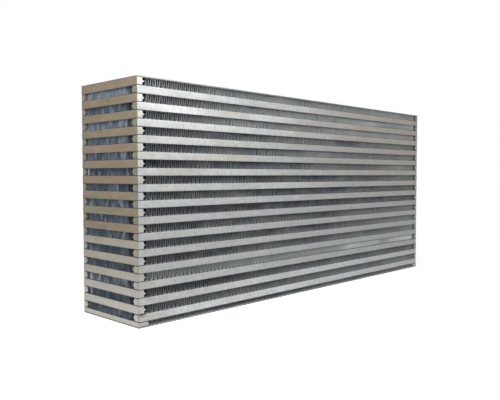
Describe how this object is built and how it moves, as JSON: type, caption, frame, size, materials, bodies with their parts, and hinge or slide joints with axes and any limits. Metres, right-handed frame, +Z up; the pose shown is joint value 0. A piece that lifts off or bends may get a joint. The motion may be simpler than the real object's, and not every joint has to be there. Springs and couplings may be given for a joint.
{
  "type": "intercooler core",
  "caption": "Bar-and-plate intercooler core: a flat stack of finned air passages that cross, closed by nosed bars, between two plain side plates, with no end tanks.",
  "frame": {"origin": "middle of the underside of the lower side plate", "axes": "+X along the length, from one open charge-air end to the other; +Y through the depth, from the front face to the rear face; +Z up the stack, from the thin base passage to the top side plate"},
  "size_m": [0.6096, 0.1142, 0.2743],
  "materials": {
    "bar": "mill-finish extrusion, brazed, light scratches",
    "plate": "mill-finish sheet, brazed",
    "sheet": "mill-finish clad sheet, brazed",
    "fin": "thin rolled foil, brazed, dull grey"
  },
  "bodies": {
    "root": {"side_plate_bottom": "plate", "side_plate_top": "plate", "ambient_bars_left": "bar", "ambient_bars_right": "bar", "base_bars": "bar", "charge_bars_front": "bar", "charge_bars_rear": "bar", "passage_sheets_01": "sheet", "passage_sheets_02": "sheet", "passage_sheets_03": "sheet", "passage_sheets_04": "sheet", "passage_sheets_05": "sheet", "passage_sheets_06": "sheet", "passage_sheets_07": "sheet", "passage_sheets_08": "sheet", "passage_sheets_09": "sheet", "passage_sheets_10": "sheet", "passage_sheets_11": "sheet", "passage_sheets_12": "sheet", "passage_sheets_13": "sheet", "passage_sheets_14": "sheet", "passage_sheets_15": "sheet", "base_fin": "fin", "ambient_fin_01": "fin", "ambient_fin_02": "fin", "ambient_fin_03": "fin", "ambient_fin_04": "fin", "ambient_fin_05": "fin", "ambient_fin_06": "fin", "ambient_fin_07": "fin", "ambient_fin_08": "fin", "ambient_fin_09": "fin", "ambient_fin_10": "fin", "ambient_fin_11": "fin", "ambient_fin_12": "fin", "ambient_fin_13": "fin", "ambient_fin_14": "fin", "ambient_fin_15": "fin", "charge_fin_01": "fin", "charge_fin_02": "fin", "charge_fin_03": "fin", "charge_fin_04": "fin", "charge_fin_05": "fin", "charge_fin_06": "fin", "charge_fin_07": "fin", "charge_fin_08": "fin", "charge_fin_09": "fin", "charge_fin_10": "fin", "charge_fin_11": "fin", "charge_fin_12": "fin", "charge_fin_13": "fin", "charge_fin_14": "fin", "charge_fin_15": "fin"}
  },
  "joints": []
}
